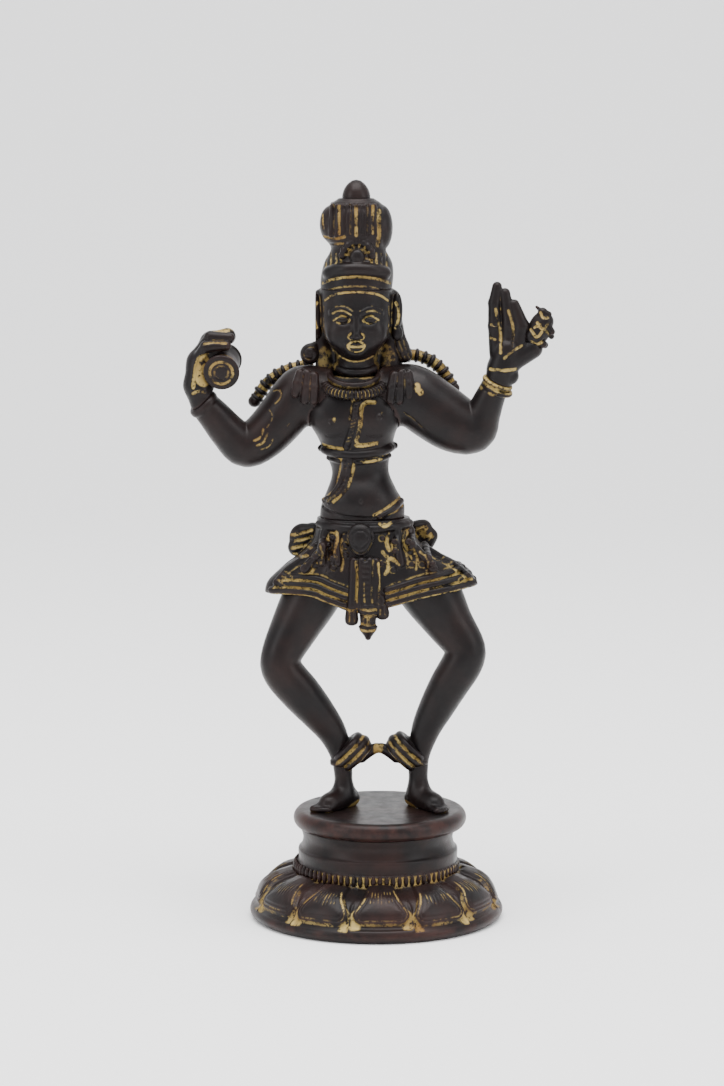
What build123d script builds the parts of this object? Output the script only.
"""Brass nataraja statue: a cast, brazed and chased figure that two studs hold to a hollow lotus pedestal.

Millimetres. +Z is up, the figure looks along -Y, and the origin is the centre of the pedestal's underside.
Right and left are the figure's own, so its right side lies towards -X.
"""

import os
from math import cos, radians, sin

from build123d import *

# --- Driving dimensions ---------------------------------------------------------------------

RIM_RADIUS = 39.0  # foot ring of the lotus pedestal
RIM_HEIGHT = 4.0
PETAL_TOP = 14.6  # where the petals meet the ribbed ring
RING_TOP = 17.6
BAND_TOP = 21.2  # plain band above the ribbed ring
NECK_TOP = 28.3  # the disc rests here
WALL = 2.6  # of the hollow casting
WEB = 3.0  # plate across the top of the neck
PETALS = 12
PETAL_RELIEF = 0.8

DISC_X = 1.1  # the disc was fitted a little off the pedestal's axis
DISC_RADIUS = 26.8
DISC_TOP = 34.0
DISC_ROUND = 2.3

STUD_RADIUS = 2.0
STUD_FIT = 0.05  # radial clearance of studs and tenons in their holes
RIGHT_STUD = (-11.0, -0.4)
LEFT_STUD = (14.0, -0.2)
STUD_DEPTH = 5.0  # into each sole
STUD_TAIL = 8.5  # below the web
WASHER_RADIUS = 4.5
WASHER_THICKNESS = 0.8
NUT_FLATS = 7.0
NUT_THICKNESS = 3.2

FOOT_HALF_LENGTH = 10.4
FOOT_HALF_WIDTH = 4.6
FOOT_HEIGHT = 8.0
ANKLET_WIDTH = 4.6
HIP_TOP = 112.0  # where the leg castings end inside the skirt
BELT = 125.0  # joint between skirt and torso
NECK_JOINT = 168.5  # joint between torso and head
COLLAR_RADIUS = 9.4
COLLAR_TILT = 28.0  # the collar drops towards the front
HAIRLINE = 195.0  # joint between head and crown
CROWN_TOP = 222.4  # joint between crown and finial
FINIAL_TOP = 228.0
HEAD_X = -6.2  # the head and trunk stand left of the pedestal's axis

TENON_RADIUS = 3.0
TENON_LENGTH = 4.5
PEG_RADIUS = 1.5  # of the small tenons at wrists and finial
SHOULDER_PEG_RADIUS = 2.0
SHOULDER_PEG_HEIGHT = 160.0
RIGHT_PEG_END = -15.0  # X where each shoulder peg ends inside the trunk
LEFT_PEG_END = 1.6

# --- Shared ways of making a form ------------------------------------------------------------


def oval(half_depth, half_width):
    """A near-ellipse whose seam always starts on its depth axis, so that lofts don't twist."""
    turns = [radians(45 * step) for step in range(8)]
    with BuildLine() as ring:
        Spline(*[(half_depth * cos(turn), half_width * sin(turn)) for turn in turns], periodic=True)
    make_face(ring.line.edges())


def eased(stations, steps=3):
    """The stations with more of them between, on a Catmull-Rom curve through every measure."""
    padded = [stations[0], *stations, stations[-1]]
    result = []
    for a, b, c, d in zip(padded, padded[1:], padded[2:], padded[3:]):
        for step in range(steps):
            t = step / steps
            result.append(
                tuple(
                    q + t / 2 * (r - p + t * (2 * p - 5 * q + 4 * r - s + t * (3 * (q - r) + s - p)))
                    for p, q, r, s in zip(a, b, c, d)
                )
            )
    return [*result, tuple(stations[-1])]


def level_form(stations):
    """A smooth solid over level ovals of (x, y, z, half width, half depth, turn about Z)."""
    for x, y, z, half_width, half_depth, turn in eased(stations):
        across = (sin(radians(turn)), cos(radians(turn)), 0)
        with BuildSketch(Plane(origin=(x, y, z), x_dir=across, z_dir=(0, 0, -1))) as section:
            oval(half_depth, half_width)
        add(section.sketch)
    loft()


def limb(start, end, girths):
    """A straight, rounded limb with (place along it, half width, half depth) for each of its girths."""
    run = Vector(*end) - Vector(*start)
    depth_way = Vector(0, 1, 0) - run.normalized() * run.normalized().Y
    for place, half_width, half_depth in eased(girths):
        station = Plane(origin=Vector(*start) + run * place, x_dir=depth_way, z_dir=run)
        with BuildSketch(station) as section:
            oval(half_depth, half_width)
        add(section.sketch)
    loft()


def rod(x, y, low, high, radius, mode=Mode.ADD):
    """An upright round rod or hole from one height to another."""
    with Locations((x, y, (low + high) / 2)):
        Cylinder(radius, high - low, mode=mode)


def bulb(x, y, z, rx, ry, rz):
    """A solid ellipsoid, made away from any other form."""
    return scale(Sphere(1, mode=Mode.PRIVATE), by=(rx, ry, rz), mode=Mode.PRIVATE).moved(Location((x, y, z)))


def fit_against(*neighbours):
    """Cut the piece in hand to the surfaces of the pieces that it is brazed to."""
    for neighbour in neighbours:
        add(neighbour.part, mode=Mode.SUBTRACT)


# --- Lotus pedestal ----------------------------------------------------------------------------


def pedestal_profile(proud=0.0):
    """Outside of the pedestal from the foot ring to the neck's top, with the petals' slope set proud."""
    with BuildLine() as outside:
        foot = Line((0, 0), (RIM_RADIUS - 1.2, 0))
        edge = Spline(
            foot @ 1,
            (RIM_RADIUS, 1.8),
            (RIM_RADIUS - 1.0, RIM_HEIGHT),
            tangents=[(1, 0.2), (-1, 0.6)],
        )
        slope = ThreePointArc(edge @ 1, (34.6 + proud, 9.6 + proud), (26.2 + proud / 2, PETAL_TOP))
        ring = ThreePointArc(slope @ 1, (26.4, (PETAL_TOP + RING_TOP) / 2), (24.9, RING_TOP))
        band = Line(ring @ 1, (24.9, BAND_TOP))
        neck = ThreePointArc(band @ 1, (23.2, (BAND_TOP + NECK_TOP) / 2), (24.2, NECK_TOP))
        top = Line(neck @ 1, (0, NECK_TOP))
        Line(top @ 1, foot @ 0)
    make_face(outside.line.edges())


def petal_outline():
    """One petal seen from above, its round tip on the foot ring."""
    half = 0.46 * 2 * 180 / PETALS
    with BuildLine() as outline:
        left = Line((25.0, -1.6), (33.0, -RIM_RADIUS * sin(radians(half)) * 0.86))
        tip = ThreePointArc(left @ 1, (RIM_RADIUS - 1.4, 0), (33.0, RIM_RADIUS * sin(radians(half)) * 0.86))
        right = Line(tip @ 1, (25.0, 1.6))
        Line(right @ 1, left @ 0)
    petal = make_face(outline.line.edges(), mode=Mode.PRIVATE)
    add(petal)


with BuildPart() as lotus_base:
    with BuildSketch(Plane.XZ):
        pedestal_profile(PETAL_RELIEF)
    revolve(axis=Axis.Z)
    with BuildSketch() as petal_plan:
        Circle(25.2)
        with PolarLocations(0, PETALS, start_angle=-90 + 2.2):
            petal_outline()
    extrude(amount=NECK_TOP, mode=Mode.INTERSECT)
    with BuildSketch(Plane.XZ):
        pedestal_profile()
    revolve(axis=Axis.Z)
    with BuildSketch(Plane.XZ):
        with BuildLine():
            hollow = Polyline(
                (0, 0),
                (RIM_RADIUS - WALL - 1.2, 0),
                (RIM_RADIUS - WALL - 1.0, 3.0),
                (31.5, 8.2),
                (23.0, 12.0),
                (20.6, 17.0),
                (20.4, NECK_TOP - WEB),
                (0, NECK_TOP - WEB),
                close=True,
            )
        make_face()
    revolve(axis=Axis.Z, mode=Mode.SUBTRACT)
    for stud_x, stud_y in (RIGHT_STUD, LEFT_STUD):
        rod(stud_x, stud_y, NECK_TOP - WEB - 1, NECK_TOP + 1, STUD_RADIUS + STUD_FIT, Mode.SUBTRACT)

with BuildPart() as plinth_disc:
    with Locations((DISC_X, 0, (NECK_TOP + DISC_TOP) / 2)):
        Cylinder(DISC_RADIUS, DISC_TOP - NECK_TOP)
    fillet(plinth_disc.edges().filter_by(GeomType.CIRCLE), DISC_ROUND)
    for stud_x, stud_y in (RIGHT_STUD, LEFT_STUD):
        rod(stud_x, stud_y, NECK_TOP - 1, DISC_TOP + 1, STUD_RADIUS + STUD_FIT, Mode.SUBTRACT)

# --- Studs, washers and nuts under the pedestal's web -------------------------------------------

STUD_END = NECK_TOP - WEB - STUD_TAIL
NUT_SEAT = NECK_TOP - WEB - WASHER_THICKNESS

with BuildPart() as foot_studs:
    for stud_x, stud_y in (RIGHT_STUD, LEFT_STUD):
        rod(stud_x, stud_y, STUD_END, DISC_TOP + STUD_DEPTH, STUD_RADIUS)
    chamfer(foot_studs.edges().group_by(Axis.Z)[0], 0.5)

with BuildPart() as stud_washers:
    for stud_x, stud_y in (RIGHT_STUD, LEFT_STUD):
        rod(stud_x, stud_y, NUT_SEAT, NUT_SEAT + WASHER_THICKNESS, WASHER_RADIUS)
        rod(stud_x, stud_y, NUT_SEAT - 1, NECK_TOP, STUD_RADIUS + STUD_FIT, Mode.SUBTRACT)

with BuildPart() as stud_nuts:
    with BuildSketch(Plane.XY.offset(NUT_SEAT - NUT_THICKNESS)):
        with Locations(RIGHT_STUD, LEFT_STUD):
            RegularPolygon(NUT_FLATS / 2, 6, major_radius=False)
            Circle(STUD_RADIUS + STUD_FIT, mode=Mode.SUBTRACT)
    extrude(amount=NUT_THICKNESS)

# --- Legs, anklets and the strut between the ankles ---------------------------------------------

# Each station is (x, y, z, half width, half depth, turn), from the hip down to the heel.
RIGHT_LEG_RUN = [
    (-13.5, 0.0, HIP_TOP, 8.6, 8.4, 0),
    (-17.0, -0.4, 105.0, 8.8, 8.4, 0),
    (-20.6, -1.0, 98.0, 9.0, 8.2, 0),
    (-25.6, -2.6, 89.0, 8.0, 7.4, 0),
    (-29.4, -4.2, 81.0, 6.8, 6.8, 0),
    (-28.0, -4.0, 76.0, 7.4, 6.6, 0),
    (-23.1, -2.6, 69.7, 7.4, 6.0, 0),
    (-18.4, -1.0, 63.5, 6.0, 5.2, 0),
    (-13.9, 0.6, 57.0, 4.5, 4.3, 0),
    (-11.2, 1.4, 50.5, 3.4, 3.8, 0),
    (-10.5, 1.2, 44.5, 3.2, 3.8, 0),
    (-10.4, 1.0, DISC_TOP, 3.4, 4.0, 0),
]
LEFT_LEG_RUN = [
    (7.0, 0.0, HIP_TOP, 8.8, 8.4, 0),
    (12.2, -0.4, 105.0, 9.6, 8.4, 0),
    (16.0, -1.0, 98.8, 10.6, 8.2, 0),
    (21.6, -2.6, 91.0, 8.8, 7.4, 0),
    (26.4, -4.2, 84.0, 7.4, 6.8, 0),
    (25.6, -4.0, 78.0, 7.2, 6.6, 0),
    (21.2, -2.6, 71.0, 6.5, 6.0, 0),
    (18.2, -1.0, 65.0, 5.6, 5.2, 0),
    (14.9, 0.6, 58.5, 4.8, 4.4, 0),
    (13.4, 1.4, 51.0, 3.7, 3.9, 0),
    (13.0, 1.2, 44.5, 3.4, 3.9, 0),
    (12.9, 1.0, DISC_TOP, 3.6, 4.1, 0),
]


def leg(stations, foot_middle, toe_turn, stud):
    """Thigh, shin and foot in one casting, with a blind hole for the stud in the sole."""
    level_form(stations)
    foot = bulb(0, 0, 0, FOOT_HALF_WIDTH, FOOT_HALF_LENGTH, FOOT_HEIGHT)
    add(foot.moved(Location((*foot_middle, DISC_TOP), (0, 0, toe_turn))))
    rod(0, 0, DISC_TOP - 2 * FOOT_HEIGHT, DISC_TOP, 2 * DISC_RADIUS, Mode.SUBTRACT)
    rod(*stud, DISC_TOP - 1, DISC_TOP + STUD_DEPTH + 0.3, STUD_RADIUS + STUD_FIT, Mode.SUBTRACT)


with BuildPart() as right_leg:
    leg(RIGHT_LEG_RUN, (-12.9, -2.6), -41, RIGHT_STUD)

with BuildPart() as left_leg:
    leg(LEFT_LEG_RUN, (16.2, -2.7), 38, LEFT_STUD)


def anklet(centre, tilt, reach, leg_part):
    """A heavy round-edged ring that hangs slanting round one ankle, bored to the leg it is brazed to."""
    upright = (-sin(radians(tilt)), 0, cos(radians(tilt)))
    with BuildPart(Plane(origin=centre, x_dir=(0, 1, 0), z_dir=upright)) as ring:
        Cylinder(reach, ANKLET_WIDTH)
        fillet(ring.edges().filter_by(GeomType.CIRCLE), ANKLET_WIDTH * 0.46)
    add(ring.part)
    fit_against(leg_part)


with BuildPart() as right_anklet:
    anklet((-7.7, 1.2, 51.5), 45, 6.3, right_leg)

with BuildPart() as left_anklet:
    anklet((9.3, 1.2, 51.7), -45, 6.5, left_leg)

with BuildPart() as ankle_strut:
    with BuildSketch(Plane.XZ.offset(-3.6)):
        with BuildLine():
            under = ThreePointArc((-4.4, 49.4), (0.8, 50.3), (6.0, 49.4))
            left_side = Line(under @ 1, (6.0, 53.6))
            over = ThreePointArc(left_side @ 1, (0.8, 54.4), (-4.4, 53.6))
            Line(over @ 1, under @ 0)
        make_face()
    extrude(amount=5.0)
    fit_against(right_anklet, left_anklet)

# --- Skirt, with its sash, buckle and hip bows ---------------------------------------------------

with BuildPart() as skirt:
    level_form(
        [
            (-3.8, 0.0, BELT, 14.6, 10.2, 0),
            (-3.6, 0.0, 118.0, 17.4, 11.4, 0),
            (-1.4, 0.0, 110.0, 26.8, 12.4, 0),
            (-1.4, 0.0, 102.0, 32.2, 12.8, 0),
            (-1.4, 0.0, 95.0, 33.0, 12.8, 0),
        ]
    )
    # The hem rises from the sash to the two points of the skirt.
    with BuildSketch(Plane.XZ.offset(20)):
        with BuildLine():
            hem = ThreePointArc((-36.0, 99.8), (-24.0, 99.6), (-4.0, 96.0))
            rise = ThreePointArc(hem @ 1, (20.0, 101.4), (33.0, 104.0))
            Polyline(rise @ 1, (40.0, 104.0), (40.0, 90.0), (-40.0, 90.0), (-40.0, 99.8), hem @ 0)
        make_face()
    extrude(amount=-40, mode=Mode.SUBTRACT)
    fit_against(right_leg, left_leg)
    rod(HEAD_X + 2, 0, BELT - TENON_LENGTH - 0.3, BELT + 1, TENON_RADIUS + STUD_FIT, Mode.SUBTRACT)

with BuildPart() as buckle:
    with BuildSketch(Plane.XZ.offset(9.0)):
        with BuildLine():
            brow = Line((-9.0, 124.4), (-1.4, 124.4))
            cheek = ThreePointArc(brow @ 1, (-1.0, 119.0), (-5.0, 114.6))
            ThreePointArc(cheek @ 1, (-9.4, 119.0), brow @ 0)
        make_face()
    extrude(amount=5.6)
    fit_against(skirt)

with BuildPart() as sash:
    with BuildSketch(Plane.XZ.offset(8.5)):
        with BuildLine():
            left_edge = [(-8.2, 113.8), (-9.2, 96.0), (-5.8, 94.0), (-2.6, 88.4)]
            outline = Polyline(*left_edge, (0.6, 94.0), (3.2, 97.6))
            Polyline(outline @ 1, (1.2, 113.8), outline @ 0)
        make_face()
    extrude(amount=6.6)
    fit_against(skirt)


def hip_bow(x, z, lean):
    """A looped knot of the waist cloth that stands out behind one hip."""
    add(bulb(0, 0, 0, 5.8, 3.2, 6.0).moved(Location((x, 8.4, z), (0, lean, 0))))
    fit_against(skirt)


with BuildPart() as right_hip_bow:
    hip_bow(-21.8, 118.4, 25)

with BuildPart() as left_hip_bow:
    hip_bow(14.4, 118.6, -35)

# --- Trunk, collar and head -----------------------------------------------------------------------


def shoulder_peg(start, end, mode=Mode.ADD):
    """A round peg or its bore along X at shoulder height."""
    with Locations(((start + end) / 2, 0, SHOULDER_PEG_HEIGHT)):
        Cylinder(SHOULDER_PEG_RADIUS, abs(end - start), rotation=(0, 90, 0), mode=mode)


with BuildPart() as torso:
    level_form(
        [
            (-4.0, 0.0, BELT, 14.4, 10.0, 0),
            (-4.3, 0.0, 129.2, 13.2, 9.6, 0),
            (-5.1, 0.0, 138.0, 8.2, 7.4, 0),
            (-6.2, 0.0, 146.8, 11.2, 8.6, 0),
            (-7.1, 0.0, 155.0, 14.2, 10.0, 0),
            (-6.8, 0.0, 162.0, 15.4, 9.2, 0),
            (-6.4, 0.0, 166.2, 11.6, 7.6, 0),
            (HEAD_X, 0.0, NECK_JOINT, 7.4, 6.4, 0),
        ]
    )
    rod(HEAD_X + 2, 0, BELT - TENON_LENGTH, BELT + 1, TENON_RADIUS)
    rod(HEAD_X, 0, NECK_JOINT - TENON_LENGTH - 0.3, NECK_JOINT + 1, TENON_RADIUS + STUD_FIT, Mode.SUBTRACT)
    for peg_end, outward in ((RIGHT_PEG_END, -1), (LEFT_PEG_END, 1)):
        shoulder_peg(peg_end, peg_end + outward * 10, Mode.SUBTRACT)

with BuildPart() as head:
    level_form(
        [
            (HEAD_X, 0.0, NECK_JOINT, 6.4, 6.0, 0),
            (HEAD_X, -0.6, 172.5, 6.4, 6.4, 0),
            (HEAD_X, -1.0, 178.0, 8.6, 9.0, 0),
            (HEAD_X, -1.0, 185.0, 10.4, 10.4, 0),
            (HEAD_X, -0.6, 191.0, 10.8, 10.6, 0),
            (HEAD_X, 0.0, HAIRLINE, 10.9, 10.4, 0),
        ]
    )
    for side in (-1, 1):
        add(bulb(HEAD_X + side * 11.4, 1.4, 186.2, 2.6, 3.6, 8.6))
    rod(HEAD_X, 0, NECK_JOINT - TENON_LENGTH, NECK_JOINT + 1, TENON_RADIUS)
    rod(HEAD_X, 0, HAIRLINE - TENON_LENGTH - 0.3, HAIRLINE + 1, TENON_RADIUS + STUD_FIT, Mode.SUBTRACT)

with BuildPart() as collar:
    with Locations((HEAD_X, -2.4, 166.6)):
        Torus(COLLAR_RADIUS, 1.9, rotation=(COLLAR_TILT, 0, 0))
    fit_against(torso, head)

# --- Crown and finial ----------------------------------------------------------------------------

with BuildPart() as crown:
    level_form(
        [
            (HEAD_X, 0.0, HAIRLINE, 11.3, 10.6, 0),
            (HEAD_X + 0.2, 0.0, 200.0, 11.1, 10.2, 0),
            (HEAD_X + 0.6, 0.0, 206.5, 8.6, 8.2, 0),
            (HEAD_X, 0.0, 212.0, 10.8, 8.8, 0),
            (HEAD_X, 0.0, 218.0, 10.4, 8.8, 0),
            (HEAD_X, 0.0, CROWN_TOP, 5.4, 5.2, 0),
        ]
    )
    rod(HEAD_X, 0, HAIRLINE - TENON_LENGTH, HAIRLINE + 1, TENON_RADIUS)
    rod(HEAD_X, 0, CROWN_TOP - 3.2, CROWN_TOP + 1, PEG_RADIUS + STUD_FIT, Mode.SUBTRACT)

with BuildPart() as finial:
    with BuildSketch(Plane.XZ.shift_origin((HEAD_X, 0, 0))):
        with BuildLine():
            seat = Line((0, CROWN_TOP), (4.3, CROWN_TOP))
            dome = Spline(seat @ 1, (3.3, 225.4), (0, FINIAL_TOP), tangents=[(0.1, 1), (-1, 0.1)])
            Line(dome @ 1, seat @ 0)
        make_face()
    revolve(axis=Axis((HEAD_X, 0, 0), (0, 0, 1)))
    rod(HEAD_X, 0, CROWN_TOP - 3.0, CROWN_TOP + 0.5, PEG_RADIUS)

# --- Arms ----------------------------------------------------------------------------------------

RIGHT_SHOULDER = (-23.0, 0.5, 163.6)
RIGHT_ELBOW = (-40.4, -1.0, 147.4)
RIGHT_WRIST = (-53.4, -5.5, 161.2)
LEFT_SHOULDER = (9.6, 0.5, 162.8)
LEFT_ELBOW = (31.0, -1.0, 152.8)
LEFT_WRIST = (37.4, -5.0, 167.2)


def arm(shoulder, elbow, wrist, girth, peg_end):
    """One arm, pegged into the trunk at the shoulder and bored at the wrist for the hand's peg."""
    limb(shoulder, elbow, [(0, girth, 7.6), (0.5, girth - 0.3, 7.6), (1, girth - 1.6, 6.6)])
    add(bulb(*shoulder, girth + 0.4, 8.1, girth + 0.4))
    add(bulb(*elbow, girth - 1.1, 7.2, girth - 1.1))
    limb(elbow, wrist, [(0, 5.8, 5.8), (0.45, 4.9, 4.9), (1, 4.2, 4.2)])
    fit_against(torso, collar)
    shoulder_peg(shoulder[0], peg_end)
    with Locations(wrist_plane(elbow, wrist).offset(-1.5)):
        Cylinder(PEG_RADIUS + STUD_FIT, 3.4, mode=Mode.SUBTRACT)


def wrist_plane(elbow, wrist):
    """The flat joint between a forearm and its hand."""
    return Plane(origin=wrist, x_dir=(0, 1, 0), z_dir=Vector(*wrist) - Vector(*elbow))


with BuildPart() as right_arm:
    arm(RIGHT_SHOULDER, RIGHT_ELBOW, RIGHT_WRIST, 7.8, RIGHT_PEG_END)

with BuildPart() as left_arm:
    arm(LEFT_SHOULDER, LEFT_ELBOW, LEFT_WRIST, 9.0, LEFT_PEG_END)

# --- Hands, drum and antelope --------------------------------------------------------------------

with BuildPart() as drum:
    DRUM_FRONT = (-47.0, -10.5, 170.2)
    DRUM_TIP_UP = 14.0
    drum_run = Vector(0.05, cos(radians(DRUM_TIP_UP)), sin(radians(DRUM_TIP_UP)))
    face = Plane(origin=DRUM_FRONT, x_dir=(1, 0, 0), z_dir=drum_run)
    with BuildSketch(Plane(origin=DRUM_FRONT, x_dir=face.x_dir, z_dir=face.x_dir.cross(drum_run))):
        with BuildLine():
            front = Polyline((0, 0), (5.6, 0), (5.6, 1.8))
            waist = ThreePointArc(front @ 1, (3.6, 6.6), (5.4, 11.4))
            Polyline(waist @ 1, (5.4, 13.2), (0, 13.2), (0, 0))
        make_face()
    revolve(axis=Axis(DRUM_FRONT, tuple(drum_run)))


def wrist_peg(elbow, wrist):
    """The peg that enters the forearm."""
    with Locations(wrist_plane(elbow, wrist).offset(-1.4)):
        Cylinder(PEG_RADIUS, 3.0)


with BuildPart() as right_hand:
    limb(
        RIGHT_WRIST,
        (-48.0, -4.2, 183.4),
        [(0, 4.2, 4.2), (0.2, 5.4, 4.8), (0.5, 7.4, 6.0), (0.8, 7.2, 5.6), (1, 3.4, 3.4)],
    )
    split(bisect_by=wrist_plane(RIGHT_ELBOW, RIGHT_WRIST), keep=Keep.TOP)
    wrist_peg(RIGHT_ELBOW, RIGHT_WRIST)
    fit_against(drum)

with BuildPart() as left_hand:
    limb(
        LEFT_WRIST,
        (38.2, -5.0, 197.6),
        [(0, 4.2, 4.1), (0.15, 4.8, 4.0), (0.4, 7.6, 3.9), (0.6, 6.8, 3.4), (0.82, 4.8, 2.6), (1, 1.8, 1.7)],
    )
    add(bulb(44.4, -5.0, 175.4, 6.4, 3.9, 4.8))
    split(bisect_by=wrist_plane(LEFT_ELBOW, LEFT_WRIST), keep=Keep.TOP)
    wrist_peg(LEFT_ELBOW, LEFT_WRIST)

with BuildPart() as antelope:
    add(bulb(49.2, -5.6, 183.4, 5.2, 4.0, 7.0))
    fit_against(left_hand)

# --- Earrings and hair ---------------------------------------------------------------------------

with BuildPart() as right_earring:
    add(bulb(-20.4, 1.0, 175.0, 3.3, 3.2, 3.4))
    fit_against(head, torso, collar, right_arm)

with BuildPart() as left_hair:
    add(bulb(7.6, 2.0, 180.0, 3.5, 3.6, 8.4))
    fit_against(head, torso, collar, left_arm)


def braid(outer, tip, inner, neighbours):
    """A thick ribbed braid that falls in an arc behind one shoulder."""
    with BuildSketch(Plane.XZ.offset(-10.6)) as side:
        with BuildLine():
            over = ThreePointArc(*outer)
            end = ThreePointArc(over @ 1, tip, inner[0])
            under = ThreePointArc(end @ 1, *inner[1:])
            Line(under @ 1, over @ 0)
        make_face()
    extrude(side.sketch, amount=5.6)
    fit_against(*neighbours)


with BuildPart() as right_braid:
    braid(
        [(-20.0, 173.4), (-32.6, 169.0), (-39.6, 159.8)],
        (-38.8, 157.9),
        [(-36.0, 157.8), (-29.2, 164.6), (-20.0, 167.8)],
        (right_arm, torso, right_earring, head, collar),
    )

with BuildPart() as left_braid:
    braid(
        [(6.0, 176.6), (18.8, 174.6), (25.8, 163.8)],
        (25.0, 161.8),
        [(21.8, 162.4), (16.0, 169.2), (6.0, 170.6)],
        (left_arm, torso, left_hair, head, collar),
    )


def locks(x, z, lean, neighbours):
    """A fan of hair laid over the front of one shoulder, cast as one low shell."""
    add(bulb(0, 0, 0, 4.4, 3.2, 6.0).moved(Location((x, -6.6, z), (0, lean, 0))))
    fit_against(*neighbours)


with BuildPart() as right_locks:
    locks(-21.6, 165.6, 24, (right_arm, torso, collar, head))

with BuildPart() as left_locks:
    locks(7.4, 165.4, -22, (left_arm, torso, collar, head))

# --- One STEP for each piece ---------------------------------------------------------------------

PIECES = {
    "lotus_base": lotus_base,
    "plinth_disc": plinth_disc,
    "foot_studs": foot_studs,
    "stud_washers": stud_washers,
    "stud_nuts": stud_nuts,
    "right_leg": right_leg,
    "left_leg": left_leg,
    "right_anklet": right_anklet,
    "left_anklet": left_anklet,
    "ankle_strut": ankle_strut,
    "skirt": skirt,
    "buckle": buckle,
    "sash": sash,
    "right_hip_bow": right_hip_bow,
    "left_hip_bow": left_hip_bow,
    "torso": torso,
    "collar": collar,
    "head": head,
    "crown": crown,
    "finial": finial,
    "right_earring": right_earring,
    "left_hair": left_hair,
    "right_arm": right_arm,
    "left_arm": left_arm,
    "right_hand": right_hand,
    "left_hand": left_hand,
    "drum": drum,
    "antelope": antelope,
    "right_braid": right_braid,
    "left_braid": left_braid,
    "right_locks": right_locks,
    "left_locks": left_locks,
}

os.makedirs("parts", exist_ok=True)
for name, piece in PIECES.items():
    piece.part.label = name
    export_step(piece.part, f"parts/{name}.step")
